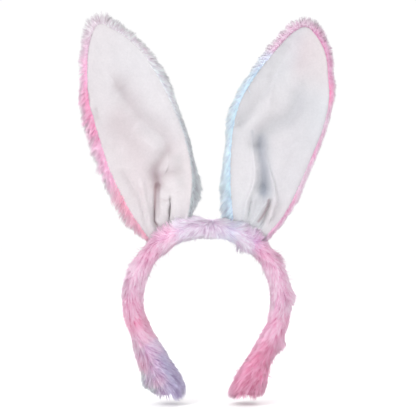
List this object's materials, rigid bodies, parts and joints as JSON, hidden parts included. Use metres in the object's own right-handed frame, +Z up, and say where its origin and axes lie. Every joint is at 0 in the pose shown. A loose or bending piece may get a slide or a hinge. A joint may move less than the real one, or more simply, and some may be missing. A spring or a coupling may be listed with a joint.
{
  "type": "animal ears headband",
  "caption": "Plush-covered springy headband with two tall, bendable animal ears: smooth inner panels set in long-pile backs with wired edges.",
  "frame": {"origin": "where the underside of the crown rests on the wearer's head, on the centre plane", "axes": "+Z up as worn, -Y to the front (the side the smooth ear panels face), +X to the viewer's right seen from the front"},
  "size_m": [0.2243, 0.0244, 0.3394],
  "materials": {
    "long_pile_plush": "long shaggy pile, patchy pastel pink, lilac, pale blue and grey-teal with pale tips",
    "white_velour": "short smooth white pile",
    "sewing_thread": "matt polyester thread",
    "binding_tape": "woven cotton tape",
    "ear_wire": "annealed steel wire",
    "spring_band": "satin moulded strip"
  },
  "bodies": {
    "crown": {"band_core_crown": "spring_band", "sleeve_crown": "long_pile_plush", "sleeve_seam_crown": "sewing_thread", "left_ear_wire_feet": "ear_wire", "left_ear_foot_wrap": "binding_tape", "left_ear_root_stitches": "sewing_thread", "right_ear_wire_feet": "ear_wire", "right_ear_foot_wrap": "binding_tape", "right_ear_root_stitches": "sewing_thread"},
    "left_arm": {"band_core_left_arm": "spring_band", "sleeve_left_arm": "long_pile_plush", "sleeve_seam_left_arm": "sewing_thread", "left_end_gather_thread": "sewing_thread"},
    "right_arm": {"band_core_right_arm": "spring_band", "sleeve_right_arm": "long_pile_plush", "sleeve_seam_right_arm": "sewing_thread", "right_end_gather_thread": "sewing_thread"},
    "left_ear": {"left_ear_front_lower": "white_velour", "left_ear_back_lower": "long_pile_plush", "left_ear_edge_seam_lower": "sewing_thread", "left_ear_wire_lower": "ear_wire", "left_ear_dart_stitches": "sewing_thread"},
    "left_ear_tip": {"left_ear_front_tip": "white_velour", "left_ear_back_tip": "long_pile_plush", "left_ear_edge_seam_tip": "sewing_thread", "left_ear_wire_tip": "ear_wire"},
    "right_ear": {"right_ear_front_lower": "white_velour", "right_ear_back_lower": "long_pile_plush", "right_ear_edge_seam_lower": "sewing_thread", "right_ear_wire_lower": "ear_wire", "right_ear_dart_stitches": "sewing_thread"},
    "right_ear_tip": {"right_ear_front_tip": "white_velour", "right_ear_back_tip": "long_pile_plush", "right_ear_edge_seam_tip": "sewing_thread", "right_ear_wire_tip": "ear_wire"}
  },
  "joints": [
    {"name": "left_arm_flex", "type": "hinge", "parent": "crown", "child": "left_arm", "pos_m": [-0.0542, 0, -0.02062], "axis": [0, 1, 0], "range_deg": [-5, 20], "stiffness_Nm_per_rad": 0.5},
    {"name": "right_arm_flex", "type": "hinge", "parent": "crown", "child": "right_arm", "pos_m": [0.0542, 0, -0.02062], "axis": [0, -1, 0], "range_deg": [-5, 20], "stiffness_Nm_per_rad": 0.5},
    {"name": "left_ear_tilt", "type": "hinge", "parent": "crown", "child": "left_ear", "pos_m": [-0.03514, 0, 0.00694], "axis": [0.8854, 0, 0.4648], "range_deg": [-50, 50]},
    {"name": "left_ear_fold", "type": "hinge", "parent": "left_ear", "child": "left_ear_tip", "pos_m": [-0.06546, -0.003, 0.09808], "axis": [0.9478, 0, 0.319], "range_deg": [-40, 60]},
    {"name": "right_ear_tilt", "type": "hinge", "parent": "crown", "child": "right_ear", "pos_m": [0.03961, 0, 0.00439], "axis": [0.8517, 0, -0.524], "range_deg": [-50, 50]},
    {"name": "right_ear_fold", "type": "hinge", "parent": "right_ear", "child": "right_ear_tip", "pos_m": [0.06525, -0.003, 0.09681], "axis": [0.9636, 0, -0.2672], "range_deg": [-40, 60]}
  ]
}
